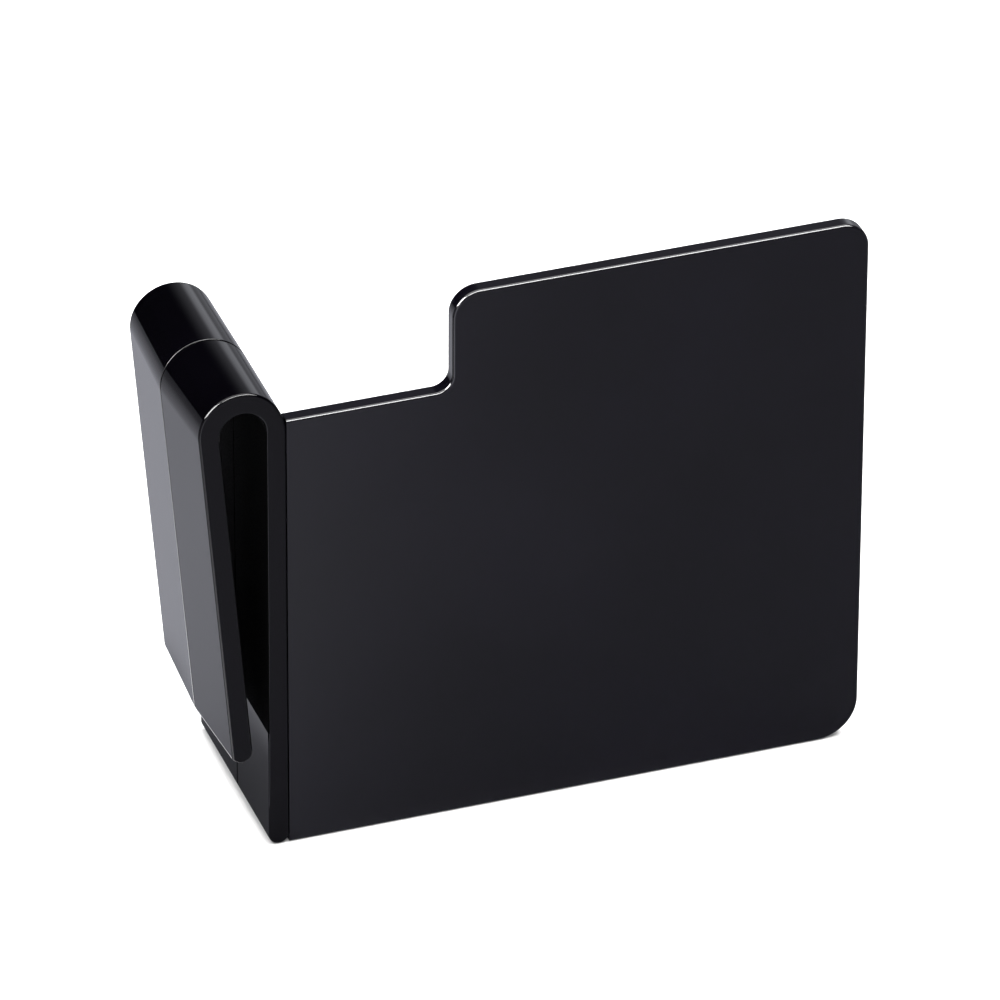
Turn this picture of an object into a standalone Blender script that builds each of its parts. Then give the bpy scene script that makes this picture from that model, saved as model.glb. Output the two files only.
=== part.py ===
"""Clip-on divider panel: a notched plate carried by a two-part spring clip.

Lengths are metres. The shapes are laid out in the clip frame: +X runs along the plate from the joint
between plate and clip, +Y runs from the front face to the back, and +Z runs up from the foot. One parent
empty then moves the whole object so that its origin is the centre of its footprint.
"""

import math

import bmesh
import bpy
from mathutils import Matrix, Vector

# Driving dimensions
MM = 0.001
GAP = 0.3 * MM               # clearance kept between pieces that touch
PANEL_WIDTH = 85.0 * MM
PANEL_HEIGHT = 85.0 * MM
PANEL_LOW_HEIGHT = 69.6 * MM  # the part beside the clip, below the notch
PANEL_THICKNESS = 2.4 * MM
NOTCH_WIDTH = 24.0 * MM
CLIP_DEPTH = 31.5 * MM
SEAM_Y = 14.5 * MM           # where the clip's front and rear halves meet
STRIP = 3.0 * MM             # thickness of the clip's spring leg
INNER_LEG = 3.1 * MM         # thickness of the leg that carries the plate
SLOT_RADIUS = 3.3 * MM
SLOT_CENTRE_Z = 68.55 * MM
ARCH_RADIUS = 6.0 * MM
ARCH_CENTRE = (-6.75 * MM, 69.1 * MM)
SHOULDER_ANGLE = math.radians(40.0)  # where the arch widens into the inner leg's flat side
LEG_SLANT = math.radians(4.7)
LEG_TIP_Z = 14.65 * MM
DRAFT = 0.45 * MM            # growth of the outer profile from each end face to the seam
CLIP_EDGE = 0.35 * MM
PANEL_EDGE = 0.4 * MM

# Corners of the plate
TOP_CORNER = 4.0 * MM
BOTTOM_CORNER = 6.0 * MM
NOTCH_CORNER = 2.5 * MM

# End of the spring leg: two corners, the outer one a little higher, joined by a short chord
TIP_OUTER_CORNER = 0.7 * MM
TIP_OUTER_LIFT = 0.35 * MM
TIP_OUTER_END = math.radians(245.0)
TIP_INNER_CORNER = 1.6 * MM
TIP_INNER_START = math.radians(255.0)

# Tongues of the plate, held in pockets of the inner leg
TONGUE_HEIGHT = 9.0 * MM
TONGUE_REACH = 1.1 * MM
TONGUE_THICKNESS = 0.8 * MM
TONGUE_ROOT = 1.0 * MM       # how far a tongue runs into the plate
TONGUE_CENTRES_Z = (10.0 * MM, 35.0 * MM, 58.0 * MM)

# Dowels that line up and join the clip's halves
DOWEL_RADIUS = 0.75 * MM
DOWEL_LENGTH = 8.0 * MM
FRAME_DOWELS = ((-1.6 * MM, 20.0 * MM), (-1.6 * MM, 47.0 * MM), (-6.6 * MM, 73.45 * MM))
LEG_DOWELS_Z = (28.0 * MM, 52.0 * MM)

# The spring leg turns about a line just outside its top outer edge
OUTER_SIDE_X = ARCH_CENTRE[0] - ARCH_RADIUS - 2.0 * DRAFT
HINGE_CLEARANCE = 0.05 * MM
HINGE_X = OUTER_SIDE_X - HINGE_CLEARANCE
HINGE_Z = ARCH_CENTRE[1]

# The footprint's centre in the clip frame
FOOTPRINT_CENTRE = Vector(((PANEL_WIDTH + OUTER_SIDE_X) / 2.0, CLIP_DEPTH / 2.0, 0.0))

# Fineness of the meshes
CORNER_STEPS = 8
SLOT_END_STEPS = 3
ARCH_STEPS = 30
FILLET_STEPS = 3
ROD_SIDES = 24
WELD_DISTANCE = 1e-6
RIM_ANGLE = math.radians(40.0)     # an edge sharper than this is a rim to round
SHARP_ANGLE = math.radians(35.0)   # an edge sharper than this is shaded sharp
EMPTY_SIZE = 5.0 * MM

# Finish: colour, roughness, metallic
FINISHES = {
    "panel_gloss_black": ((0.010, 0.010, 0.012), 0.08, 0.0),
    "clip_front_gloss_black": ((0.008, 0.008, 0.010), 0.08, 0.0),
    "clip_rear_gloss_black": ((0.012, 0.012, 0.014), 0.08, 0.0),
    "dowel_steel": ((0.55, 0.55, 0.57), 0.30, 1.0),
}


def clear_scene():
    for obj in list(bpy.data.objects):
        bpy.data.objects.remove(obj, do_unlink=True)


def make_collection(name):
    collection = bpy.data.collections.new(name)
    bpy.context.scene.collection.children.link(collection)
    return collection


def make_material(name):
    colour, roughness, metallic = FINISHES[name]
    material = bpy.data.materials.new(name)
    material.use_nodes = True
    shader = material.node_tree.nodes["Principled BSDF"]
    shader.inputs["Base Color"].default_value = (*colour, 1.0)
    shader.inputs["Roughness"].default_value = roughness
    shader.inputs["Metallic"].default_value = metallic
    return material


def arc(centre, radius, start, end, steps):
    """Points of an arc in the XZ plane, angles measured from +X towards +Z."""
    points = []
    for step in range(steps + 1):
        angle = start + (end - start) * step / steps
        points.append((centre[0] + radius * math.cos(angle), centre[1] + radius * math.sin(angle)))
    return points


def quarter(corner, radius, turn):
    """A rounded corner of an anticlockwise outline; turn counts quarter turns of its start from +X."""
    start = turn * math.pi / 2.0
    reach = math.sqrt(2.0) * radius
    middle = start + math.pi / 4.0
    centre = (corner[0] - reach * math.cos(middle), corner[1] - reach * math.sin(middle))
    return arc(centre, radius, start, start + math.pi / 2.0, CORNER_STEPS)


def panel_outline():
    """The plate's outline, anticlockwise, seen from the front."""
    left = GAP / 2.0
    outline = [(left, 0.0)]
    outline += quarter((PANEL_WIDTH, 0.0), BOTTOM_CORNER, 3)
    outline += quarter((PANEL_WIDTH, PANEL_HEIGHT), TOP_CORNER, 0)
    outline += quarter((NOTCH_WIDTH, PANEL_HEIGHT), TOP_CORNER, 1)
    notch = arc(
        (NOTCH_WIDTH - NOTCH_CORNER, PANEL_LOW_HEIGHT + NOTCH_CORNER),
        NOTCH_CORNER, 0.0, -math.pi / 2.0, CORNER_STEPS,
    )
    outline += notch
    outline.append((left, PANEL_LOW_HEIGHT))
    return outline


def shoulder_arc(growth):
    """Centre and radius of the wide arc between the inner leg's flat side and the arch."""
    flat = -GAP / 2.0
    centre_x, centre_z = ARCH_CENTRE[0] - growth, ARCH_CENTRE[1]
    radius = ARCH_RADIUS + growth
    cosine, sine = math.cos(SHOULDER_ANGLE), math.sin(SHOULDER_ANGLE)
    wide = (flat - centre_x - radius * cosine) / (1.0 - cosine)
    centre = (centre_x - (wide - radius) * cosine, centre_z - (wide - radius) * sine)
    return centre, wide


def frame_outline(growth):
    """The inner leg and the arch, anticlockwise from the foot, with the outer side grown by growth."""
    flat = -GAP / 2.0
    foot_radius = (INNER_LEG + flat) / 2.0
    foot_centre = (flat - foot_radius, foot_radius)
    shoulder, wide = shoulder_arc(growth)
    arch_centre = (ARCH_CENTRE[0] - growth, ARCH_CENTRE[1])
    split = HINGE_Z + GAP / 2.0
    outer_end = math.pi - math.asin((split - arch_centre[1]) / (ARCH_RADIUS + growth))
    slot_centre = (-INNER_LEG - SLOT_RADIUS, SLOT_CENTRE_Z)
    inner_end = math.pi - math.asin((split - slot_centre[1]) / SLOT_RADIUS)
    outline = arc(foot_centre, foot_radius, -math.pi, 0.0, 2 * CORNER_STEPS)
    outline += arc(shoulder, wide, 0.0, SHOULDER_ANGLE, CORNER_STEPS)
    outline += arc(arch_centre, ARCH_RADIUS + growth, SHOULDER_ANGLE, outer_end, ARCH_STEPS)[1:]
    outline += arc(slot_centre, SLOT_RADIUS, inner_end, 0.0, ARCH_STEPS)
    return outline


def leg_line_x(z, offset, growth=0.0):
    """The X of a line along the slanted leg, offset from its outer face towards the slot."""
    tangent = math.pi + LEG_SLANT
    start_x = ARCH_CENTRE[0] - growth + (ARCH_RADIUS + growth) * math.cos(tangent)
    start_z = ARCH_CENTRE[1] + (ARCH_RADIUS + growth) * math.sin(tangent)
    return start_x + offset / math.cos(LEG_SLANT) + (start_z - z) * math.tan(LEG_SLANT)


def leg_outline(growth):
    """The spring leg, anticlockwise from its top outer corner, with its outer face grown by growth."""
    top = HINGE_Z - GAP / 2.0
    slot_centre = (-INNER_LEG - SLOT_RADIUS, SLOT_CENTRE_Z)
    outer_corner_z = LEG_TIP_Z + TIP_OUTER_CORNER + TIP_OUTER_LIFT
    inner_corner_z = LEG_TIP_Z + TIP_INNER_CORNER
    outer_centre = (leg_line_x(outer_corner_z, TIP_OUTER_CORNER, growth), outer_corner_z)
    inner_centre = (leg_line_x(inner_corner_z, STRIP - TIP_INNER_CORNER), inner_corner_z)
    outline = [(leg_line_x(top, 0.0, growth), top)]
    outer_side = math.pi + LEG_SLANT
    inner_side = 2.0 * math.pi + LEG_SLANT
    outline += arc(outer_centre, TIP_OUTER_CORNER, outer_side, TIP_OUTER_END, CORNER_STEPS)
    outline += arc(inner_centre, TIP_INNER_CORNER, TIP_INNER_START, inner_side, 2 * CORNER_STEPS)
    slot_end = math.pi - math.asin((top - slot_centre[1]) / SLOT_RADIUS)
    outline += arc(slot_centre, SLOT_RADIUS, outer_side, slot_end, SLOT_END_STEPS)
    return outline


def upright_at(x, y, z):
    """The matrix that stands a shape's Z axis along Y, at a place."""
    return Matrix.Translation((x, y, z)) @ Matrix.Rotation(math.pi / 2.0, 4, "X")


def flat_solid(name, outline, front, back):
    """A closed mesh of the outline between two Y planes, in the clip frame."""
    curve = bpy.data.curves.new(name, "CURVE")
    curve.dimensions = "2D"
    curve.fill_mode = "BOTH"
    curve.extrude = (back - front) / 2.0
    spline = curve.splines.new("POLY")
    spline.points.add(len(outline) - 1)
    for point, (x, z) in zip(spline.points, outline):
        point.co = (x, z, 0.0, 1.0)
    spline.use_cyclic_u = True
    guide = bpy.data.objects.new(name + "_outline", curve)
    bpy.context.scene.collection.objects.link(guide)
    bpy.context.view_layer.update()
    graph = bpy.context.evaluated_depsgraph_get()
    mesh = bpy.data.meshes.new_from_object(guide.evaluated_get(graph))
    bpy.data.objects.remove(guide, do_unlink=True)
    mesh.name = name
    mesh.materials.clear()
    mesh.transform(upright_at(0.0, (front + back) / 2.0, 0.0))
    shape = bmesh.new()
    shape.from_mesh(mesh)
    bmesh.ops.remove_doubles(shape, verts=shape.verts, dist=WELD_DISTANCE)
    bmesh.ops.recalc_face_normals(shape, faces=shape.faces)
    shape.to_mesh(mesh)
    shape.free()
    return mesh


def near(value, target):
    return abs(value - target) < WELD_DISTANCE


def grow_ring(mesh, plane_y, plain, grown):
    """Moves the outline's vertices in one Y plane from the plain outline to the grown one."""
    for vertex in mesh.vertices:
        if not near(vertex.co.y, plane_y):
            continue
        place = min(
            range(len(plain)),
            key=lambda i: (vertex.co.x - plain[i][0]) ** 2 + (vertex.co.z - plain[i][1]) ** 2,
        )
        vertex.co.x, vertex.co.z = grown[place]


def round_rims(mesh, planes_y, radius, keep_sharp_z=None):
    """Rounds the outline's edges in the given Y planes, apart from those that lie at keep_sharp_z."""
    shape = bmesh.new()
    shape.from_mesh(mesh)
    rims = []
    for edge in shape.edges:
        ends = [vertex.co for vertex in edge.verts]
        if len(edge.link_faces) != 2 or edge.calc_face_angle() < RIM_ANGLE:
            continue
        in_plane = any(all(near(end.y, y) for end in ends) for y in planes_y)
        at_split = keep_sharp_z is not None and all(near(end.z, keep_sharp_z) for end in ends)
        if in_plane and not at_split:
            rims.append(edge)
    bmesh.ops.bevel(
        shape, geom=rims, offset=radius, segments=FILLET_STEPS, profile=0.5, affect="EDGES",
        clamp_overlap=True,
    )
    shape.to_mesh(mesh)
    shape.free()


def box_mesh(name, low, high):
    mesh = bpy.data.meshes.new(name)
    shape = bmesh.new()
    bmesh.ops.create_cube(shape, size=1.0)
    size = Vector(high) - Vector(low)
    centre = (Vector(high) + Vector(low)) / 2.0
    bmesh.ops.scale(shape, vec=size, verts=shape.verts)
    bmesh.ops.translate(shape, vec=centre, verts=shape.verts)
    shape.to_mesh(mesh)
    shape.free()
    return mesh


def rods_mesh(name, places, radius, front, back):
    """Rods along Y at each (x, z) place, as separate closed bodies of one mesh."""
    mesh = bpy.data.meshes.new(name)
    shape = bmesh.new()
    for x, z in places:
        bmesh.ops.create_cone(
            shape, cap_ends=True, segments=ROD_SIDES, radius1=radius, radius2=radius,
            depth=back - front, matrix=upright_at(x, (front + back) / 2.0, z),
        )
    shape.to_mesh(mesh)
    shape.free()
    return mesh


def add_object(name, mesh, collection, parent, finish=None, origin=(0.0, 0.0, 0.0)):
    """Links a mesh of the clip frame under its parent, with the object's origin moved to origin."""
    mesh.transform(Matrix.Translation(-Vector(origin)))
    obj = bpy.data.objects.new(name, mesh)
    obj.parent = parent
    obj.location = Vector(origin) - Vector(parent["clip_frame_place"])
    collection.objects.link(obj)
    if finish:
        mesh.materials.append(MATERIALS[finish])
        mesh.shade_smooth()
        mesh.set_sharp_from_angle(angle=SHARP_ANGLE)
    return obj


def add_empty(name, collection, place, parent=None):
    """An empty at a place of the clip frame. Its own place is kept so that children can be set from it."""
    empty = bpy.data.objects.new(name, None)
    empty.empty_display_size = EMPTY_SIZE
    empty["clip_frame_place"] = tuple(place)
    if parent:
        empty.parent = parent
        empty.location = Vector(place) - Vector(parent["clip_frame_place"])
    collection.objects.link(empty)
    return empty


def add_boolean(obj, cutter, operation):
    modifier = obj.modifiers.new(operation.lower() + "_" + cutter.name, "BOOLEAN")
    modifier.operation = operation
    modifier.object = cutter


def hide_helper(obj):
    obj.hide_render = True
    obj.display_type = "WIRE"
    return obj


def leg_dowel_places():
    return [(leg_line_x(z, STRIP / 2.0), z) for z in LEG_DOWELS_Z]


def tongue_box(centre_z, clearance):
    """Low and high corners of a tongue, or of its pocket when there is a clearance."""
    middle_y = PANEL_THICKNESS / 2.0
    half_y = TONGUE_THICKNESS / 2.0 + clearance
    half_z = TONGUE_HEIGHT / 2.0 + clearance
    low = (-GAP / 2.0 - TONGUE_REACH - clearance, middle_y - half_y, centre_z - half_z)
    high = (TONGUE_ROOT, middle_y + half_y, centre_z + half_z)
    return low, high


def build_panel(parts, helpers, root):
    mesh = flat_solid("divider_panel", panel_outline(), 0.0, PANEL_THICKNESS)
    round_rims(mesh, (0.0, PANEL_THICKNESS), PANEL_EDGE)
    panel = add_object("divider_panel", mesh, parts, root, "panel_gloss_black")
    for number, centre_z in enumerate(TONGUE_CENTRES_Z, 1):
        name = f"tongue_{number}"
        tongue = add_object(name, box_mesh(name, *tongue_box(centre_z, 0.0)), helpers, root)
        add_boolean(panel, hide_helper(tongue), "UNION")


def half_mesh(name, outline_of, end_y, seam_y, keep_sharp_z):
    """One half of a clip piece, from its end face to the seam, growing towards the seam."""
    plain = outline_of(0.0)
    mesh = flat_solid(name, plain, min(end_y, seam_y), max(end_y, seam_y))
    grow_ring(mesh, seam_y, plain, outline_of(DRAFT))
    round_rims(mesh, (end_y, seam_y), CLIP_EDGE, keep_sharp_z)
    return mesh


def add_dowel_holes(obj, helpers, parent, places):
    name = obj.name + "_dowel_holes"
    reach = DOWEL_LENGTH / 2.0 + GAP
    holes = rods_mesh(name, places, DOWEL_RADIUS + GAP, SEAM_Y - reach, SEAM_Y + reach)
    cutter = add_object(name, holes, helpers, parent)
    add_boolean(obj, hide_helper(cutter), "DIFFERENCE")


def build_clip(parts, helpers, root, pivot):
    halves = (
        ("front", 0.0, SEAM_Y - GAP / 2.0),
        ("rear", CLIP_DEPTH, SEAM_Y + GAP / 2.0),
    )
    hinge = Vector(pivot["clip_frame_place"])
    for side, end_y, seam_y in halves:
        finish = f"clip_{side}_gloss_black"
        name = f"clip_{side}_frame"
        mesh = half_mesh(name, frame_outline, end_y, seam_y, HINGE_Z + GAP / 2.0)
        frame = add_object(name, mesh, parts, root, finish)
        add_dowel_holes(frame, helpers, root, FRAME_DOWELS)
        if side == "front":
            add_pockets(frame, helpers, root)
        name = f"clip_{side}_spring_leg"
        mesh = half_mesh(name, leg_outline, end_y, seam_y, HINGE_Z - GAP / 2.0)
        leg = add_object(name, mesh, parts, pivot, finish, hinge)
        add_dowel_holes(leg, helpers, pivot, leg_dowel_places())


def add_pockets(frame, helpers, root):
    for number, centre_z in enumerate(TONGUE_CENTRES_Z, 1):
        name = f"tongue_pocket_{number}"
        pocket = add_object(name, box_mesh(name, *tongue_box(centre_z, GAP)), helpers, root)
        add_boolean(frame, hide_helper(pocket), "DIFFERENCE")


def build_dowels(parts, root, pivot):
    front, back = SEAM_Y - DOWEL_LENGTH / 2.0, SEAM_Y + DOWEL_LENGTH / 2.0
    for group, places, parent in (
        ("frame_dowel", FRAME_DOWELS, root),
        ("spring_leg_dowel", leg_dowel_places(), pivot),
    ):
        for number, place in enumerate(places, 1):
            name = f"{group}_{number}"
            mesh = rods_mesh(name, (place,), DOWEL_RADIUS, front, back)
            origin = (place[0], SEAM_Y, place[1]) if parent is root else parent["clip_frame_place"]
            add_object(name, mesh, parts, parent, "dowel_steel", origin)


clear_scene()
MATERIALS = {name: make_material(name) for name in FINISHES}
part_collection = make_collection("clip_on_divider_panel")
helper_collection = make_collection("helpers")
object_root = add_empty("divider_root", part_collection, FOOTPRINT_CENTRE)
leg_pivot = add_empty("spring_leg_pivot", part_collection, (HINGE_X, SEAM_Y, HINGE_Z), object_root)
build_panel(part_collection, helper_collection, object_root)
build_clip(part_collection, helper_collection, object_root, leg_pivot)
build_dowels(part_collection, object_root, leg_pivot)
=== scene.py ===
"""Looks of the clip-on divider panel: fine-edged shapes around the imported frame, moulded-plastic materials,
a pale floor and soft studio light.

Lengths are metres. Shapes are laid out in the clip frame, as in the part's source: X from the joint between
plate and clip, Y from the front face back, Z up from the foot. CLIP_ORIGIN then moves them to the row frame.
"""

import math

import bmesh
import bpy
from mathutils import Matrix, Vector


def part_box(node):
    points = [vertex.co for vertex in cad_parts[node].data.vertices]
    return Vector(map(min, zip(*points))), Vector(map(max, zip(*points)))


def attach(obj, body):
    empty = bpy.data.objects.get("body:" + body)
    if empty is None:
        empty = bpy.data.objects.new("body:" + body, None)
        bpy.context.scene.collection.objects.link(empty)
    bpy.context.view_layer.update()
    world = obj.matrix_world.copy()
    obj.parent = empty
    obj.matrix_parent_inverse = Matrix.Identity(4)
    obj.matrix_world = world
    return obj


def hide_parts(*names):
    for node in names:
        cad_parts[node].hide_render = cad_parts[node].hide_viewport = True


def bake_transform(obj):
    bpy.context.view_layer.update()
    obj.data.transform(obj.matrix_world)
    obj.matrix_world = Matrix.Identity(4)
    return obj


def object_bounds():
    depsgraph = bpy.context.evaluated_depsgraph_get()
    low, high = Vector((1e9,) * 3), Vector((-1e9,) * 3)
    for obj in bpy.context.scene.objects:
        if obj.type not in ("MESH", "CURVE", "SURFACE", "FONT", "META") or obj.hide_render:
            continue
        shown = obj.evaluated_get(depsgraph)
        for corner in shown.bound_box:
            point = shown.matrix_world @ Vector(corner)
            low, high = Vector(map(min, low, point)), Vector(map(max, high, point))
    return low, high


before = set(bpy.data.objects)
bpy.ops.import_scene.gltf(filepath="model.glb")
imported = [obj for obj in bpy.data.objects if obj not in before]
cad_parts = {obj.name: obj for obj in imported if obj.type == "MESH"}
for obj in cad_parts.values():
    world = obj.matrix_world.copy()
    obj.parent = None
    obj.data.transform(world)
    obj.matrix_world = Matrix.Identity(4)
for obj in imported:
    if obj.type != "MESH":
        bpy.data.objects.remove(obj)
CAD_LOW, CAD_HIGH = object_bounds()

MM = 0.001
GAP = 0.3 * MM                # the CAD's clearance between neighbouring pieces
PANEL_LOW, PANEL_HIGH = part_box("divider_panel")
FRONT_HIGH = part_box("clip_front_frame")[1]

# The clip's cross-section
FLAT_X = -GAP / 2.0           # the inner leg's flat side, which carries the plate
INNER_LEG = 3.1 * MM
STRIP = 3.0 * MM
SLOT_CENTRE = (-6.4 * MM, 68.55 * MM)
SLOT_RADIUS = 3.3 * MM
ARCH_CENTRE = (-6.75 * MM, 69.1 * MM)
ARCH_RADIUS = 6.0 * MM
SHOULDER_ANGLE = math.radians(40.0)
LEG_SLANT = math.radians(4.7)
LEG_TIP_Z = 14.65 * MM
TIP_OUTER_CORNER = 0.7 * MM
TIP_OUTER_LIFT = 0.35 * MM
TIP_OUTER_END = math.radians(245.0)
TIP_INNER_CORNER = 1.6 * MM
TIP_INNER_START = math.radians(255.0)
DRAFT = 0.45 * MM             # growth of the outer profile from each end face to the seam
CLIP_EDGE = 0.35 * MM         # radius of the rims at the end faces
SEAM_EDGE = 0.12 * MM         # the rims that meet at the seam are crisper
SEAM_GROOVE = 0.6 * MM        # how deep the open seam is
SLOT_SHADE_LOW_Z = 18.7 * MM        # the inner leg's slot side is near-black matt from here up, as painted shade
CUT_Z = 62.0 * MM             # where the inner leg's piece meets the arch's piece

# The plate
PANEL_LOW_TOP = 69.6 * MM
NOTCH_WIDTH = 24.0 * MM
PANEL_EDGE = 0.4 * MM
TOP_CORNER = 4.0 * MM
BOTTOM_CORNER = 6.0 * MM
NOTCH_CORNER = 2.5 * MM
JOINT_GAP = 0.03 * MM         # what is left open between plate and clip, so that no light passes
PANEL_LEFT = FLAT_X + JOINT_GAP

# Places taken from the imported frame
CLIP_DEPTH = CAD_HIGH.y - CAD_LOW.y
SEAM_Y = FRONT_HIGH.y - CAD_LOW.y + GAP / 2.0
PANEL_THICKNESS = PANEL_HIGH.y - PANEL_LOW.y
PANEL_HEIGHT = PANEL_HIGH.z
CLIP_ORIGIN = Vector((FRONT_HIGH.x - FLAT_X, CAD_LOW.y, 0.0))
PANEL_WIDTH = PANEL_HIGH.x - CLIP_ORIGIN.x

# Fineness
ARC_STEP = math.radians(3.0)
FILLET_STEPS = 7
SHARP_ANGLE = math.radians(50.0)
SUPPORT = 0.08 * MM           # distance of the loops that keep flat faces flat in shading
CAP_RING = 4.0 * SUPPORT      # distance of the innermost loop of an end face from its rim
LONG_RUN = 8.0 * SUPPORT      # a straight run longer than this gets a support point near each end
MITER_LIMIT = 0.5
FACING = 0.5                  # the least cosine of a face that counts as turned to the slot
TINY = 1e-9

# Rubbing of the rims, with painted highlight lines along some of them: a strength, and the fillet angle from
# the end face where it is strongest
WEAR_SPREAD = math.radians(25.0)
MIDDLE = math.radians(45.0)
NO_WEAR = (0.0, MIDDLE)
PANEL_WEAR = (0.012, MIDDLE)
# The clip's front rim: rubbing, and a painted highlight line on its outer side.
FRONT_RIM_WEAR_AND_HIGHLIGHT = (0.12, MIDDLE)
SEAM_PAINTED_HIGHLIGHT = (1.3, math.radians(60.0))  # a painted highlight line on the seam's rear lip, drawn as plastic rubbed bright
BACK_RIM_WEAR = (0.04, MIDDLE)
WEAR_AND_HIGHLIGHT_X = -4.0 * MM         # from here towards the outer side the clip's rims are rubbed and carry painted highlight lines
WEAR_AND_HIGHLIGHT_FADE = 2.7 * MM
WEAR_AND_HIGHLIGHT_TOP_Z = 64.0 * MM        # from here up the rubbing and painted highlight fade
WEAR_AND_HIGHLIGHT_TOP_FADE = 6.0 * MM
ARCH_WEAR_AND_HIGHLIGHT = 0.07              # share of the rubbing and painted highlight that is left on top of the arch
TIP_PAINTED_HIGHLIGHT = 0.6                # a painted highlight line along the spring leg's outer lower corner
TIP_HIGHLIGHT_LOW = -0.25 * MM
TIP_HIGHLIGHT_HIGH = -0.05 * MM


def arc(centre, radius, start, end):
    """Points along an arc, both ends included."""
    steps = max(4, math.ceil(abs(end - start) / ARC_STEP))
    return [
        (
            centre[0] + radius * math.cos(start + (end - start) * step / steps),
            centre[1] + radius * math.sin(start + (end - start) * step / steps),
        )
        for step in range(steps + 1)
    ]


def butts(start, end):
    """Whether a run of an outline lies against another piece: on the clip's cut or the plate's left side."""
    along_cut = abs(start[1] - CUT_Z) < TINY and abs(end[1] - CUT_Z) < TINY
    along_joint = abs(start[0] - PANEL_LEFT) < TINY and abs(end[0] - PANEL_LEFT) < TINY
    return along_cut or along_joint


def with_supports(outline):
    """Adds points close to both ends of every long straight run of an outline, apart from a butting run."""
    dense = []
    for index, here in enumerate(outline):
        there = outline[(index + 1) % len(outline)]
        dense.append(here)
        run = math.dist(here, there)
        if run > LONG_RUN and not butts(here, there):
            for share in (SUPPORT / run, 1.0 - SUPPORT / run):
                dense.append(tuple(near + (far - near) * share for near, far in zip(here, there)))
    return dense


def inset(outline, depth):
    """The anticlockwise outline moved inwards by depth. A butting run stays where it is."""
    moved = []
    count = len(outline)
    for index, point in enumerate(outline):
        before, after = outline[index - 1], outline[(index + 1) % count]
        normals = []
        for start, end in ((before, point), (point, after)):
            if butts(start, end):
                continue
            length = math.dist(start, end)
            normals.append(((start[1] - end[1]) / length, (end[0] - start[0]) / length))
        side = (sum(n[0] for n in normals), sum(n[1] for n in normals))
        scale = math.hypot(*side)
        side = (side[0] / scale, side[1] / scale)
        miter = depth / max(MITER_LIMIT, side[0] * normals[0][0] + side[1] * normals[0][1])
        moved.append((point[0] + side[0] * miter, point[1] + side[1] * miter))
    return moved


def leg_line_x(z, offset, growth):
    """The X of a line along the slanted leg, offset from its outer face towards the slot."""
    tangent = math.pi + LEG_SLANT
    start_x = ARCH_CENTRE[0] - growth + (ARCH_RADIUS + growth) * math.cos(tangent)
    start_z = ARCH_CENTRE[1] + (ARCH_RADIUS + growth) * math.sin(tangent)
    return start_x + offset / math.cos(LEG_SLANT) + (start_z - z) * math.tan(LEG_SLANT)


def arch_outline(growth):
    """Arch and spring leg above the cut, anticlockwise from the flat side of the cut."""
    centre_x = ARCH_CENTRE[0] - growth
    radius = ARCH_RADIUS + growth
    cosine, sine = math.cos(SHOULDER_ANGLE), math.sin(SHOULDER_ANGLE)
    wide = (FLAT_X - centre_x - radius * cosine) / (1.0 - cosine)
    shoulder = (centre_x - (wide - radius) * cosine, ARCH_CENTRE[1] - (wide - radius) * sine)
    outer_z = LEG_TIP_Z + TIP_OUTER_CORNER + TIP_OUTER_LIFT
    inner_z = LEG_TIP_Z + TIP_INNER_CORNER
    outer_centre = (leg_line_x(outer_z, TIP_OUTER_CORNER, growth), outer_z)
    inner_centre = (leg_line_x(inner_z, STRIP - TIP_INNER_CORNER, 0.0), inner_z)
    outer_side = math.pi + LEG_SLANT
    inner_side = 2.0 * math.pi + LEG_SLANT
    outline = [(FLAT_X, CUT_Z)]
    outline += arc(shoulder, wide, 0.0, SHOULDER_ANGLE)
    outline += arc((centre_x, ARCH_CENTRE[1]), radius, SHOULDER_ANGLE, outer_side)[1:]
    outline += arc(outer_centre, TIP_OUTER_CORNER, outer_side, TIP_OUTER_END)
    outline += arc(inner_centre, TIP_INNER_CORNER, TIP_INNER_START, inner_side)
    outline += arc(SLOT_CENTRE, SLOT_RADIUS, outer_side, 0.0)
    outline.append((-INNER_LEG, CUT_Z))
    return with_supports(outline)


def inner_leg_outline(growth):
    """The inner leg below the cut, anticlockwise from the rounded foot."""
    radius = (INNER_LEG + FLAT_X) / 2.0
    outline = arc((FLAT_X - radius, radius), radius, -math.pi, 0.0)
    outline += [(FLAT_X, CUT_Z), (-INNER_LEG, CUT_Z), (-INNER_LEG, SLOT_SHADE_LOW_Z)]
    return with_supports(outline)


def quarter(corner, radius, turn):
    """A rounded corner of an anticlockwise outline; turn counts quarter turns of its start from +X."""
    start = turn * math.pi / 2.0
    reach = math.sqrt(2.0) * radius
    middle = start + math.pi / 4.0
    centre = (corner[0] - reach * math.cos(middle), corner[1] - reach * math.sin(middle))
    return arc(centre, radius, start, start + math.pi / 2.0)


def panel_outline(growth):
    """The plate's outline, anticlockwise from its foot beside the clip. It has no draft, so no growth."""
    notch = (NOTCH_WIDTH - NOTCH_CORNER, PANEL_LOW_TOP + NOTCH_CORNER)
    outline = [(PANEL_LEFT, 0.0)]
    outline += quarter((PANEL_WIDTH, 0.0), BOTTOM_CORNER, 3)
    outline += quarter((PANEL_WIDTH, PANEL_HEIGHT), TOP_CORNER, 0)
    outline += quarter((NOTCH_WIDTH, PANEL_HEIGHT), TOP_CORNER, 1)
    outline += arc(notch, NOTCH_CORNER, 0.0, -math.pi / 2.0)
    outline.append((PANEL_LEFT, PANEL_LOW_TOP))
    return with_supports(outline)


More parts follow.
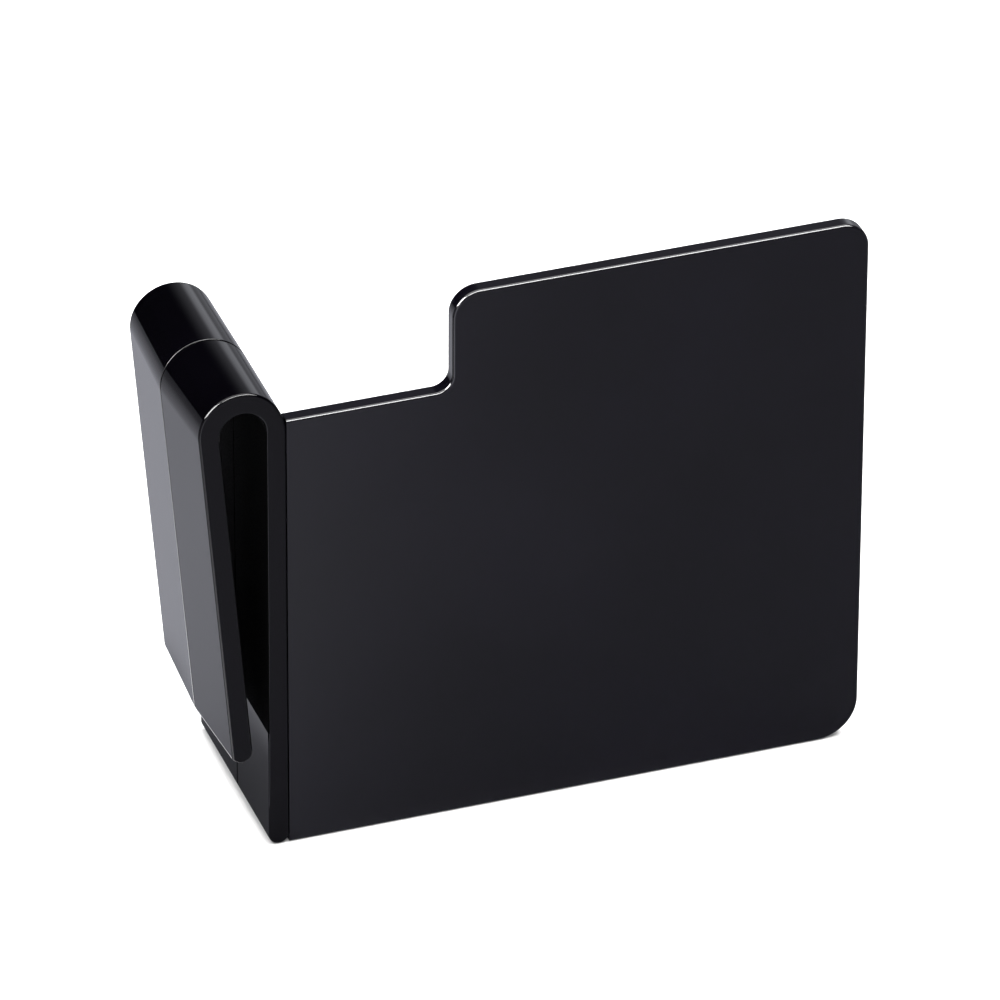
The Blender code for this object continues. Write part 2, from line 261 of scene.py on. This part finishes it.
def rim_levels(edge):
    """Distances from an end face, with how far the outline is moved inwards there."""
    levels = [(0.0, edge + CAP_RING), (0.0, edge + SUPPORT)]
    for step in range(FILLET_STEPS + 1):
        angle = math.pi / 2.0 * step / FILLET_STEPS
        levels.append((edge - edge * math.cos(angle), edge - edge * math.sin(angle)))
    levels.append((edge + SUPPORT, 0.0))
    return levels


def rim_wear_and_highlight(edge, depth, wear_and_highlight):
    """How rubbed a loop of a rim is, or how bright its painted highlight line is, from its distance inwards.
    """
    if not 0.0 < depth < edge:
        return 0.0
    strength, strongest = wear_and_highlight
    angle = math.asin(1.0 - depth / edge)
    return strength * max(0.0, 1.0 - abs(angle - strongest) / WEAR_SPREAD)


def wear_and_highlight_share(x, z):
    """How much of a rim's rubbing and painted highlight shows: all of it on the plate and on the clip's outer
    side.
    """
    if x > FLAT_X:
        return 1.0
    beside = min(1.0, max(0.0, (WEAR_AND_HIGHLIGHT_X - x) / WEAR_AND_HIGHLIGHT_FADE))
    above = min(1.0, max(0.0, (z - WEAR_AND_HIGHLIGHT_TOP_Z) / WEAR_AND_HIGHLIGHT_TOP_FADE))
    return beside * (1.0 - (1.0 - ARCH_WEAR_AND_HIGHLIGHT) * above)


def tip_painted_highlight(x, z):
    """A painted highlight line along the spring leg's outer lower corner, over its whole length."""
    corner_z = LEG_TIP_Z + TIP_OUTER_CORNER + TIP_OUTER_LIFT
    outside = x < leg_line_x(corner_z, TIP_OUTER_CORNER, 0.0)
    return TIP_PAINTED_HIGHLIGHT if outside and TIP_HIGHLIGHT_LOW < z - corner_z < TIP_HIGHLIGHT_HIGH else 0.0


def wear_and_highlight_levels(front, back, edges, wear_and_highlight):
    """The Y planes of both rims' loops, with how far each is moved inwards and how rubbed or brightened by
    painted highlight it is.
    """
    levels = [
        (front + distance, depth, rim_wear_and_highlight(edges[0], depth, wear_and_highlight[0]))
        for distance, depth in rim_levels(edges[0])
    ]
    levels += [
        (back - distance, depth, rim_wear_and_highlight(edges[1], depth, wear_and_highlight[1]))
        for distance, depth in reversed(rim_levels(edges[1]))
    ]
    return levels


def bridge(shape, rings):
    """Faces between each ring and the next, and a flat cap on both ends."""
    count = len(rings[0])
    for near, far in zip(rings, rings[1:]):
        for index in range(count):
            after = (index + 1) % count
            shape.faces.new((near[index], near[after], far[after], far[index]))
    ends = [shape.faces.new(list(reversed(rings[0]))), shape.faces.new(rings[-1])]
    bmesh.ops.recalc_face_normals(shape, faces=shape.faces)
    for face in shape.faces:
        face.smooth = face not in ends
    for bound in shape.edges:
        bound.smooth = bound.calc_face_angle() < SHARP_ANGLE


def to_object(name, shape, wear_and_highlight_values):
    """The finished shape as an object in the row frame, with how rubbed each vertex is or how bright its
    painted highlight is.
    """
    mesh = bpy.data.meshes.new(name)
    shape.to_mesh(mesh)
    shape.free()
    mesh.attributes.new("wear_and_highlight", "FLOAT", "POINT").data.foreach_set("value", wear_and_highlight_values)
    mesh.transform(Matrix.Translation(CLIP_ORIGIN))
    obj = bpy.data.objects.new(name, mesh)
    bpy.context.scene.collection.objects.link(obj)
    return obj


def lofted(name, outline_of, front, back, edges, wear_and_highlight, draft_to=None):
    """A closed mesh between two Y planes with rounded rims. draft_to is the Y plane where it is widest."""
    levels = wear_and_highlight_levels(front, back, edges, wear_and_highlight)
    if draft_to == back:
        # A step under the seam's groove reaches to the rear half, so that no light passes between them.
        levels += [(back, SEAM_GROOVE, 0.0), (back + GAP, SEAM_GROOVE, 0.0)]
    far_end = front if draft_to == back else back
    shape = bmesh.new()
    rings = []
    wear_and_highlight_values = []
    for y, depth, rubbed_or_highlighted in levels:
        growth = 0.0 if draft_to is None else DRAFT * abs(y - far_end) / (back - front)
        flat = inset(outline_of(growth), depth)
        rings.append([shape.verts.new((x, y, z)) for x, z in flat])
        on_side = 1.0 if depth == 0.0 else 0.0
        # Each vertex keeps its rubbing and its painted highlight in a point attribute.
        wear_and_highlight_values += [max(rubbed_or_highlighted * wear_and_highlight_share(x, z), on_side * tip_painted_highlight(x, z)) for x, z in flat]
    bridge(shape, rings)
    return to_object(name, shape, wear_and_highlight_values)


class Nodes:
    """Short-hand for building a node tree."""

    def __init__(self, tree):
        self.tree = tree
        tree.nodes.clear()

    def add(self, kind, links=None, **values):
        node = self.tree.nodes.new(kind)
        for key, value in values.items():
            setattr(node, key, value)
        for socket, source in (links or {}).items():
            if isinstance(source, bpy.types.NodeSocket):
                self.tree.links.new(source, node.inputs[socket])
            else:
                node.inputs[socket].default_value = source
        return node


def noise(nodes, vector, scale, detail, roughness=0.5):
    """A noise texture's value; scale is cells per metre."""
    links = {"Vector": vector, "Scale": scale, "Detail": detail, "Roughness": roughness}
    return nodes.add("ShaderNodeTexNoise", links).outputs["Fac"]


def spread(nodes, value, low, high, from_low=0.35, from_high=0.65):
    """Stretches the range where a noise mostly lies to low and high."""
    made = nodes.add(
        "ShaderNodeMapRange",
        {"Value": value, "From Min": from_low, "From Max": from_high, "To Min": low, "To Max": high},
    )
    return made.outputs["Result"]


def maths(nodes, operation, *values):
    return nodes.add("ShaderNodeMath", dict(enumerate(values)), operation=operation).outputs[0]


def blended(nodes, share, first, second):
    """A colour between two others, each a socket or three numbers."""
    ends = [end if isinstance(end, bpy.types.NodeSocket) else (*end, 1.0) for end in (first, second)]
    return nodes.add("ShaderNodeMix", {0: share, 6: ends[0], 7: ends[1]}, data_type="RGBA").outputs[2]


def new_material(name):
    material = bpy.data.materials.new(name)
    material.use_nodes = True
    return material, Nodes(material.node_tree)


def moved_coordinates(nodes, shift):
    """The object's own coordinates, moved so that the marks of two finishes differ."""
    place = nodes.add("ShaderNodeTexCoord").outputs["Object"]
    return nodes.add("ShaderNodeVectorMath", {0: place, 1: shift}, operation="ADD").outputs[0]


def bumps(nodes, height, strength, distance):
    links = {"Height": height, "Strength": strength, "Distance": distance}
    return nodes.add("ShaderNodeBump", links).outputs[0]


def principled(nodes, inputs):
    """Puts a Principled shader with these inputs on the surface."""
    shader = nodes.add("ShaderNodeBsdfPrincipled", inputs)
    nodes.add("ShaderNodeOutputMaterial", {"Surface": shader.outputs[0]})


# Gloss plastic; scales are noise cells per metre
FLOW_SCALE = 28.0
HAZE_SCALE = 140.0
PEEL_SCALE = 900.0
GRAIN_SCALE = 6000.0
SCUFF_SCALE = 5200.0
SCUFF_TURN = (0.3, 0.2, 0.5)
SCUFF_STRETCH = (1.0, 1.0, 0.14)
SCUFF_RANGE = (0.73, 0.79)            # only the noise's peaks are scuffs
FLOW_CONTRAST = (0.80, 1.25)          # shares of the tint
HAZE_CONTRAST = (0.82, 1.25)          # shares of the roughness
SCUFF_ROUGHNESS = 0.03
WORN_ROUGHNESS = 0.15
RUBBED_AND_HIGHLIGHT_TINT = (0.80, 0.80, 0.82)      # bare rubbed plastic and painted highlight lines, where the attribute that marks rubbed and highlighted rims is one
GRAIN_HEIGHT = 0.18                   # against the peel's height
SCUFF_HEIGHT = -0.25
GLOSS_BUMP = 0.004 * MM

# Near-black matt plastic on the slot's sides: painted shade for the dark inside of the slot
MATT_GRAIN_SCALE = 4200.0
MATT_CLOUD_SCALE = 160.0
SLOT_SHADE_TINTS = ((0.0003, 0.0003, 0.0004), (0.0007, 0.0007, 0.0010))
MATT_ROUGHNESS = (0.55, 0.75)
MATT_SPECULAR = 0.01
MATT_BUMP = 0.01 * MM

# Ground steel
RING_SCALE = 400.0
RING_STRETCH = (1.0, 60.0, 1.0)
STEEL_TINTS = ((0.46, 0.46, 0.48), (0.60, 0.60, 0.62))
STEEL_ROUGHNESS = (0.22, 0.36)
STEEL_BUMP = 0.005 * MM


def gloss_plastic(name, tint, gloss, index, seed):
    """Moulded gloss-black plastic: mould grain, faint flow marks, handling haze, scuffs, and rubbed edges
    that also carry painted highlight lines.
    """
    material, nodes = new_material(name)
    place = moved_coordinates(nodes, (seed, seed * 0.7, seed * 1.3))
    flow = noise(nodes, place, FLOW_SCALE, 3.0)
    haze = noise(nodes, place, HAZE_SCALE, 6.0, 0.62)
    peel = noise(nodes, place, PEEL_SCALE, 2.0)
    grain = noise(nodes, place, GRAIN_SCALE, 2.0, 0.6)
    turned = {"Vector": place, "Rotation": SCUFF_TURN, "Scale": SCUFF_STRETCH}
    stretched = nodes.add("ShaderNodeMapping", turned).outputs[0]
    scuff = spread(nodes, noise(nodes, stretched, SCUFF_SCALE, 1.0), 0.0, 1.0, *SCUFF_RANGE)
    # Rubbed edges and painted highlight lines, read from the mesh's point attribute.
    edge = nodes.add("ShaderNodeAttribute", attribute_name="wear_and_highlight", attribute_type="GEOMETRY").outputs["Fac"]

    dark, light = [tuple(share * channel for channel in tint) for share in FLOW_CONTRAST]
    base = blended(nodes, edge, blended(nodes, spread(nodes, flow, 0.0, 1.0), dark, light), RUBBED_AND_HIGHLIGHT_TINT)
    rough = spread(nodes, haze, *(gloss * share for share in HAZE_CONTRAST))
    rough = maths(nodes, "MULTIPLY_ADD", scuff, SCUFF_ROUGHNESS, rough)
    rough = maths(nodes, "MULTIPLY_ADD", edge, WORN_ROUGHNESS, rough)
    height = maths(nodes, "MULTIPLY_ADD", grain, GRAIN_HEIGHT, peel)
    height = maths(nodes, "MULTIPLY_ADD", scuff, SCUFF_HEIGHT, height)
    bump = bumps(nodes, height, 0.25, GLOSS_BUMP)
    principled(nodes, {"Base Color": base, "Roughness": rough, "Normal": bump, "IOR": index})
    return material


def slot_shade_plastic(name, seed):
    """Near-black matt plastic with a fine texture on the sides of the slot: painted shade for the slot's dark
    inside.
    """
    material, nodes = new_material(name)
    place = moved_coordinates(nodes, (seed, seed, seed))
    grain = noise(nodes, place, MATT_GRAIN_SCALE, 3.0, 0.6)
    cloud = noise(nodes, place, MATT_CLOUD_SCALE, 3.0)
    tone = blended(nodes, spread(nodes, cloud, 0.0, 1.0), *SLOT_SHADE_TINTS)
    rough = spread(nodes, grain, *MATT_ROUGHNESS)
    bump = bumps(nodes, grain, 0.5, MATT_BUMP)
    principled(
        nodes, {"Base Color": tone, "Roughness": rough, "Normal": bump, "Specular IOR Level": MATT_SPECULAR},
    )
    return material


def ground_steel(name):
    """Centreless-ground dowel steel: fine rings round the pin and a slightly uneven polish."""
    material, nodes = new_material(name)
    place = nodes.add("ShaderNodeTexCoord").outputs["Object"]
    rings = nodes.add("ShaderNodeMapping", {"Vector": place, "Scale": RING_STRETCH}).outputs[0]
    lines = noise(nodes, rings, RING_SCALE, 4.0, 0.7)
    tone = blended(nodes, spread(nodes, lines, 0.0, 1.0), *STEEL_TINTS)
    rough = spread(nodes, lines, *STEEL_ROUGHNESS)
    bump = bumps(nodes, lines, 0.3, STEEL_BUMP)
    principled(nodes, {"Base Color": tone, "Metallic": 1.0, "Roughness": rough, "Normal": bump})
    return material


PANEL_FINISH = gloss_plastic(
    "panel_gloss_black_detail", tint=(0.0026, 0.0022, 0.0046), gloss=0.12, index=1.5, seed=0.11,
)
CLIP_FRONT_FINISH = gloss_plastic(
    "clip_front_gloss_black_detail", tint=(0.0012, 0.0010, 0.0019), gloss=0.07, index=1.3, seed=0.37,
)
CLIP_REAR_FINISH = gloss_plastic(
    "clip_rear_gloss_black_detail", tint=(0.0013, 0.0011, 0.0020), gloss=0.07, index=1.3, seed=0.73,
)
# The slot's sides are near-black matt with almost no gloss: painted shade.
SLOT_SHADE_FINISH = slot_shade_plastic("clip_slot_painted_shade_black_detail", seed=0.19)
STEEL_FINISH = ground_steel("dowel_steel_detail")


def build_panel():
    edges = (PANEL_EDGE, PANEL_EDGE)
    panel = lofted("divider_plate", panel_outline, 0.0, PANEL_THICKNESS, edges, (PANEL_WEAR, PANEL_WEAR))
    panel.data.materials.append(PANEL_FINISH)
    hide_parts("divider_panel")
    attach(panel, "clip_and_panel")


def looks_into_slot(face):
    """Whether a face of the clip, in the clip frame, is on a side of the slot above the line where the slot's
    painted shade starts.
    """
    centre = face.center - CLIP_ORIGIN
    if centre.z < SLOT_SHADE_LOW_Z and centre.x > SLOT_CENTRE[0]:
        return False
    if centre.z > SLOT_CENTRE[1]:
        inwards = Vector((SLOT_CENTRE[0] - centre.x, 0.0, SLOT_CENTRE[1] - centre.z))
        return face.normal.dot(inwards) > 0.0 and inwards.length < SLOT_RADIUS + SUPPORT
    middle = (leg_line_x(centre.z, STRIP, 0.0) - INNER_LEG) / 2.0
    inwards = Vector((middle - centre.x, 0.0, 0.0))
    return face.normal.dot(inwards) > FACING * inwards.length and inwards.length < SLOT_RADIUS + SUPPORT


def build_half(side, front, back, edges, wear_and_highlight, widest, finish):
    """One half of the clip: the inner leg, and the arch with the spring leg, which bends."""
    unworn = (NO_WEAR, NO_WEAR)
    leg = lofted(f"clip_{side}_inner_leg", inner_leg_outline, front, back, edges, unworn, widest)
    arch = lofted(f"clip_{side}_arch_and_spring_leg", arch_outline, front, back, edges, wear_and_highlight, widest)
    for piece, node in ((leg, f"clip_{side}_frame"), (arch, f"clip_{side}_spring_leg")):
        piece.data.materials.append(finish)
        # Faces on the slot's sides take the near-black matt finish, as painted shade.
        piece.data.materials.append(SLOT_SHADE_FINISH)
        for face in piece.data.polygons:
            face.material_index = int(looks_into_slot(face))
        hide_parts(node)
    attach(leg, "clip_and_panel")
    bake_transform(arch)


build_panel()
FRONT_SEAM = SEAM_Y - GAP / 2.0
REAR_SEAM = SEAM_Y + GAP / 2.0
# Both halves have rubbed rims; the front rim's outer side, the seam's rear lip and the spring leg's corner
# also get painted highlight lines.
build_half(
    "front", 0.0, FRONT_SEAM, edges=(CLIP_EDGE, SEAM_EDGE), wear_and_highlight=(FRONT_RIM_WEAR_AND_HIGHLIGHT, NO_WEAR),
    widest=FRONT_SEAM, finish=CLIP_FRONT_FINISH,
)
build_half(
    "rear", REAR_SEAM, CLIP_DEPTH, edges=(SEAM_EDGE, CLIP_EDGE), wear_and_highlight=(SEAM_PAINTED_HIGHLIGHT, BACK_RIM_WEAR),
    widest=REAR_SEAM, finish=CLIP_REAR_FINISH,
)
for name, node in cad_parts.items():
    if "dowel" in name:
        node.data.materials.clear()
        node.data.materials.append(STEEL_FINISH)


# Studio
FLOOR_SIZE = 20.0
FLOOR_Z = -0.02 * MM
FLOOR_GLOW = 0.62             # keeps the floor's shadows as faint as on a lit table
CONTACT_SHADOW_REACH = 1.3 * MM      # how near something has to stand to dim that glow, a painted contact shadow
PALE = (0.86, 0.86, 0.86, 1.0)
BACKDROP_RADIUS = 8.0
BACKDROP_HEIGHT = 12.0

# The table that the gloss mirrors. Pairs are the places where a change of tone starts and ends, and the
# sectors are bearings in degrees: start, full, fade, end.
TABLE_Z = -0.01 * MM
TABLE_BACK = 0.39             # its far edge, behind the clip
TABLE_CORNER_X = -0.23        # from here the edge runs off to the back left
TABLE_REACH = 2.0
TABLE_CAST = (1.01, 1.12)     # green and blue against red
FRONT_TONE = 0.14
FRONT_RISE = 0.165            # added beside the clip, and fading to the right
FRONT_FADE = 22.0 * MM
FRONT_LEAN = 0.3515           # how the fade leans with Y
BACK_TONE = 0.40
BACK_FAR_TONE = 0.20
BACK_FADE = (0.15, 0.43)
RIGHT_SHARE = 0.68            # of the back tone, far to the right
RIGHT_FADE = (20.0 * MM, 80.0 * MM)
FRONT_TO_BACK = (-5.0 * MM, 10.0 * MM)
UNDER_SHADE = 0.5             # how much darker it is under the clip
UNDER_LEFT = (-13.0 * MM, -9.0 * MM)
UNDER_RIGHT = (3.0 * MM, 0.0)
UNDER_FRONT = (-5.0 * MM, 3.0 * MM)
UNDER_BACK = (60.0 * MM, 45.0 * MM)
SECTORS_FROM = (-12.0 * MM, 5.0 * MM)
DARK_SECTOR = (-140.0, -125.0, -54.0, -47.0)
DARK_TONE = 0.12
PALE_SECTOR = (-178.0, -170.0, -153.0, -145.0)
PALE_RISE = 1.0

# The dark room's glow and window. Bearings and heights are degrees: start, full, fade, end.
WORLD_AMBIENT = 0.003
WORLD_COLOUR = (0.96, 0.98, 1.06, 1.0)
GLOW = 0.47
GLOW_BEARINGS = (5.0, 32.0, 50.0, 75.0)
GLOW_HEIGHTS = (46.0, 22.0)   # none above the first, full below the second
WINDOW = 0.95
WINDOW_BEARINGS = (25.0, 32.0, 40.0, 50.0)
WINDOW_HEIGHTS = (2.0, 9.0, 15.0, 24.0)

# Lights: name, direction, distance, size, radiance, and whether they light the matt tone, the gloss, or both
LIGHT_AIM = Vector((0.0, 0.0, 0.045))
FILL_SIDES = {"left": (-1.0, 0.0), "right": (1.0, 0.0), "front": (0.0, -1.0), "back": (0.0, 1.0)}
SOFTBOXES = [
    ("overhead", (0.0, 0.05, 1.0), 1.7, (2.6, 2.6), 4.0, "both"),
    *((f"fill_{side}", (*way, 0.45), 2.0, (2.0, 1.2), 0.6, "matt") for side, way in FILL_SIDES.items()),
    ("key_strip", (0.22, -0.56, 0.80), 1.2, (1.6, 0.42), 34.0, "gloss"),
    ("left_strip", (-0.80, -0.28, 0.55), 1.2, (1.0, 0.8), 48.0, "gloss"),
]

# Camera, aimed at a place in the clip frame and then moved sideways, up and back
CAMERA_YAW = math.radians(19.37)
CAMERA_ELEVATION = math.radians(32.42)
CAMERA_ROLL = math.radians(0.267)
CAMERA_LENS = 397.1
CAMERA_AIM = (36.0 * MM, 0.0, 36.0 * MM)
CAMERA_RIGHT = -4.74 * MM
CAMERA_UP = 11.289 * MM
CAMERA_DISTANCE = 1539.0 * MM


def smooth_step(nodes, value, start, end, low=0.0, high=1.0):
    made = nodes.add(
        "ShaderNodeMapRange",
        {"Value": value, "From Min": start, "From Max": end, "To Min": low, "To Max": high},
        interpolation_type="SMOOTHSTEP",
    )
    return made.outputs["Result"]


def product(nodes, first, *others):
    for other in others:
        first = maths(nodes, "MULTIPLY", first, other)
    return first


def add_sheet(name, corners, z):
    """A flat stage sheet with the given X and Y corners."""
    mesh = bpy.data.meshes.new(name)
    mesh.from_pydata([(x, y, 0.0) for x, y in corners], [], [tuple(range(len(corners)))])
    sheet = bpy.data.objects.new(name, mesh)
    sheet.location.z = z
    bpy.context.scene.collection.objects.link(sheet)
    return sheet


def matt_material(name, glow=0.0):
    """A pale matt surface. Its own glow fades where something stands close over it, a painted contact shadow.
    """
    material, nodes = new_material(name)
    diffuse = nodes.add("ShaderNodeBsdfDiffuse", {"Color": PALE})
    strength = 0.0
    if glow > 0.0:
        # Ambient occlusion dims the glow close to the clip: a painted contact shadow.
        contact = nodes.add("ShaderNodeAmbientOcclusion", {"Distance": CONTACT_SHADOW_REACH}, samples=8)
        openness = contact.outputs["AO"]
        strength = product(nodes, glow, openness, openness)
    light = nodes.add("ShaderNodeEmission", {"Strength": strength})
    both = nodes.add("ShaderNodeAddShader", {0: diffuse.outputs[0], 1: light.outputs[0]})
    nodes.add("ShaderNodeOutputMaterial", {"Surface": both.outputs[0]})
    return material, nodes, diffuse


def add_floor():
    size = FLOOR_SIZE
    floor = add_sheet("floor", ((-size, -size), (size, -size), (size, size), (-size, size)), FLOOR_Z)
    floor.data.materials.append(matt_material("pale_floor", FLOOR_GLOW)[0])
    floor.visible_glossy = False


def bearing_from(nodes, x, y, place):
    """The bearing of a table point seen from a place in the clip frame, zero along +Y, positive to +X."""
    return maths(
        nodes, "ARCTAN2", maths(nodes, "SUBTRACT", x, place[0]), maths(nodes, "SUBTRACT", y, place[1]),
    )


def between(nodes, angle, start, full, fade, end):
    """One between two angles in degrees, with soft sides, and zero elsewhere."""
    rise = smooth_step(nodes, angle, math.radians(start), math.radians(full))
    fall = smooth_step(nodes, angle, math.radians(end), math.radians(fade))
    return maths(nodes, "MULTIPLY", rise, fall)


def mixed(nodes, share, first, second):
    return nodes.add("ShaderNodeMix", {0: share, 2: first, 3: second}).outputs[0]


def front_tone(nodes, x, y):
    """The table in front: palest beside the clip, and falling off to the right."""
    along = maths(nodes, "MAXIMUM", maths(nodes, "MULTIPLY_ADD", y, FRONT_LEAN, x), 0.0)
    decay = maths(nodes, "EXPONENT", maths(nodes, "DIVIDE", along, -FRONT_FADE))
    return maths(nodes, "MULTIPLY_ADD", decay, FRONT_RISE, FRONT_TONE)


def back_tone(nodes, x, y):
    """The table behind: dimmer far away and at the right."""
    distance = maths(nodes, "SQRT", maths(nodes, "MULTIPLY_ADD", x, x, maths(nodes, "MULTIPLY", y, y)))
    back = smooth_step(nodes, distance, *BACK_FADE, BACK_TONE, BACK_FAR_TONE)
    return maths(nodes, "MULTIPLY", back, smooth_step(nodes, x, *RIGHT_FADE, 1.0, RIGHT_SHARE))


def table_tone(nodes, x, y):
    """How pale the table is where gloss mirrors it: dim at the left and in front, with one pale patch."""
    behind = smooth_step(nodes, y, *FRONT_TO_BACK)
    tone = mixed(nodes, behind, front_tone(nodes, x, y), back_tone(nodes, x, y))
    under = product(
        nodes, UNDER_SHADE, smooth_step(nodes, x, *UNDER_LEFT), smooth_step(nodes, y, *UNDER_BACK),
        smooth_step(nodes, y, *UNDER_FRONT), smooth_step(nodes, x, *UNDER_RIGHT),
    )
    tone = maths(nodes, "MULTIPLY", tone, maths(nodes, "SUBTRACT", 1.0, under))
    bearing = bearing_from(nodes, x, y, SECTORS_FROM)
    tone = mixed(nodes, between(nodes, bearing, *DARK_SECTOR), tone, DARK_TONE)
    return maths(nodes, "MULTIPLY_ADD", between(nodes, bearing, *PALE_SECTOR), PALE_RISE, tone)


def add_mirrored_table():
    """A second sheet just above the floor that only the gloss sees, with its own tones and a far edge."""
    left = -TABLE_REACH
    corners = (
        (left, -TABLE_REACH), (TABLE_REACH, -TABLE_REACH), (TABLE_REACH, TABLE_BACK),
        (CLIP_ORIGIN.x + TABLE_CORNER_X, TABLE_BACK), (left, TABLE_BACK - left + TABLE_CORNER_X),
    )
    table = add_sheet("table_in_reflections", corners, TABLE_Z)
    material, nodes, diffuse = matt_material("table_tones")
    place = nodes.add("ShaderNodeTexCoord").outputs["Object"]
    split = nodes.add("ShaderNodeSeparateXYZ", {0: place})
    x = maths(nodes, "SUBTRACT", split.outputs["X"], CLIP_ORIGIN.x)
    y = maths(nodes, "SUBTRACT", split.outputs["Y"], CLIP_ORIGIN.y)
    tone = table_tone(nodes, x, y)
    channels = [tone, *(maths(nodes, "MULTIPLY", tone, share) for share in TABLE_CAST)]
    colour = nodes.add("ShaderNodeCombineColor", dict(enumerate(channels)))
    nodes.tree.links.new(colour.outputs[0], diffuse.inputs["Color"])
    table.data.materials.append(material)
    table.visible_camera = False
    table.visible_diffuse = False
    table.visible_transmission = False
    table.visible_shadow = False


def add_backdrop():
    """A white wall all round that only the camera sees."""
    mesh = bpy.data.meshes.new("backdrop")
    shape = bmesh.new()
    bmesh.ops.create_cone(
        shape, cap_ends=False, segments=64, depth=BACKDROP_HEIGHT,
        radius1=BACKDROP_RADIUS, radius2=BACKDROP_RADIUS,
    )
    shape.to_mesh(mesh)
    shape.free()
    wall = bpy.data.objects.new("backdrop", mesh)
    bpy.context.scene.collection.objects.link(wall)
    material, nodes = new_material("white_wall")
    glow = nodes.add("ShaderNodeEmission", {"Strength": 1.0})
    nodes.add("ShaderNodeOutputMaterial", {"Surface": glow.outputs[0]})
    mesh.materials.append(material)
    for kind in ("diffuse", "glossy", "transmission", "shadow"):
        setattr(wall, f"visible_{kind}", False)


def add_softbox(name, direction, distance, size, radiance, seen_by):
    """A rectangular light that faces the object."""
    light = bpy.data.lights.new(name, "AREA")
    light.shape = "RECTANGLE"
    light.size, light.size_y = size
    light.energy = radiance * math.pi * size[0] * size[1]
    obj = bpy.data.objects.new(name, light)
    towards = Vector(direction).normalized()
    obj.location = LIGHT_AIM + towards * distance
    obj.rotation_mode = "QUATERNION"
    obj.rotation_quaternion = towards.to_track_quat("Z", "Y")
    obj.visible_camera = False
    obj.visible_diffuse = seen_by != "gloss"
    obj.visible_glossy = seen_by != "matt"
    bpy.context.scene.collection.objects.link(obj)


def add_world():
    """A dark room with a soft glow at the back right and a narrow bright window low in it."""
    world = bpy.data.worlds.new("studio")
    bpy.context.scene.world = world
    world.use_nodes = True
    nodes = Nodes(world.node_tree)
    way = nodes.add("ShaderNodeTexCoord").outputs["Generated"]
    split = nodes.add("ShaderNodeSeparateXYZ", {0: way})
    bearing = maths(nodes, "ARCTAN2", split.outputs["X"], split.outputs["Y"])
    height = maths(nodes, "ARCSINE", split.outputs["Z"])
    low = smooth_step(nodes, height, *(math.radians(angle) for angle in GLOW_HEIGHTS))
    glow = product(nodes, GLOW, between(nodes, bearing, *GLOW_BEARINGS), low)
    window = product(
        nodes, WINDOW, between(nodes, bearing, *WINDOW_BEARINGS), between(nodes, height, *WINDOW_HEIGHTS),
    )
    strength = maths(nodes, "ADD", maths(nodes, "ADD", glow, window), WORLD_AMBIENT)
    back = nodes.add("ShaderNodeBackground", {"Color": WORLD_COLOUR, "Strength": strength})
    nodes.add("ShaderNodeOutputWorld", {"Surface": back.outputs[0]})


def add_camera():
    camera_data = bpy.data.cameras.new("camera")
    camera_data.lens = CAMERA_LENS
    camera_data.sensor_width = 36.0
    camera_data.clip_end = FLOOR_SIZE
    camera = bpy.data.objects.new("camera", camera_data)
    right = Vector((math.cos(CAMERA_YAW), -math.sin(CAMERA_YAW), 0.0))
    level = Vector((math.sin(CAMERA_YAW), math.cos(CAMERA_YAW), 0.0))
    down = Vector((0.0, 0.0, -1.0))
    forward = math.cos(CAMERA_ELEVATION) * level + math.sin(CAMERA_ELEVATION) * down
    upward = right.cross(forward)
    tilted_right = math.cos(CAMERA_ROLL) * right + math.sin(CAMERA_ROLL) * upward
    tilted_up = -math.sin(CAMERA_ROLL) * right + math.cos(CAMERA_ROLL) * upward
    aim = CLIP_ORIGIN + Vector(CAMERA_AIM)
    place = aim + CAMERA_RIGHT * tilted_right + CAMERA_UP * tilted_up - CAMERA_DISTANCE * forward
    turn = Matrix((tilted_right, tilted_up, -forward)).transposed().to_4x4()
    camera.matrix_world = Matrix.Translation(place) @ turn
    bpy.context.scene.collection.objects.link(camera)
    bpy.context.scene.camera = camera


add_floor()
add_mirrored_table()
add_backdrop()
add_world()
for softbox in SOFTBOXES:
    add_softbox(*softbox)
add_camera()
bpy.context.scene.view_settings.view_transform = "Standard"
